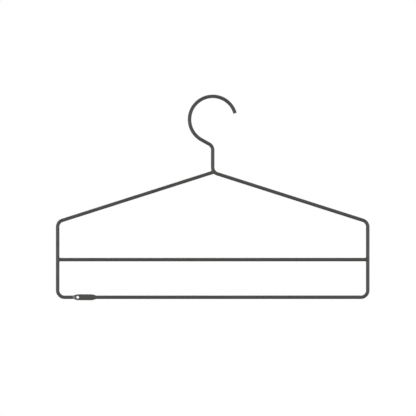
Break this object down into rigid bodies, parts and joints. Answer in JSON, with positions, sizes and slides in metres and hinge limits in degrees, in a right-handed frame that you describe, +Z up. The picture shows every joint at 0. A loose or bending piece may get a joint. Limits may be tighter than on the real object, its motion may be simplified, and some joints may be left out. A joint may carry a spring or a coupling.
{
  "type": "trouser hanger",
  "caption": "Flat wire hanger with an open hook, sloped shoulders, a fixed trouser bar and a lower rail that springs out of a catch at one end.",
  "frame": {"origin": "inside top of the hook, where the hanger rests on a wardrobe rail", "axes": "+Z up, +X to the right along the hanger's width with the catch on the left, +Y square to the hanger's plane and away from the front view"},
  "size_m": [0.44, 0.0058, 0.2884],
  "materials": {
    "wire": "dark grey satin powder coat",
    "weld": "dark grey satin powder coat over a smoothed weld",
    "bare_steel": "bare turned steel, dulled grey"
  },
  "bodies": {
    "frame": {"hook_wire": "wire", "left_wire": "wire", "trouser_bar": "wire", "locating_pin": "bare_steel", "neck_weld": "weld", "left_bar_weld": "weld", "right_bar_weld": "weld"},
    "rail": {"lower_rail": "wire"}
  },
  "joints": [
    {"name": "rail_swing", "type": "hinge", "parent": "frame", "child": "rail", "pos_m": [0.2175, 0, -0.27933], "axis": [0, 0, 1], "range_deg": [-12, 12], "stiffness_Nm_per_rad": 32}
  ]
}
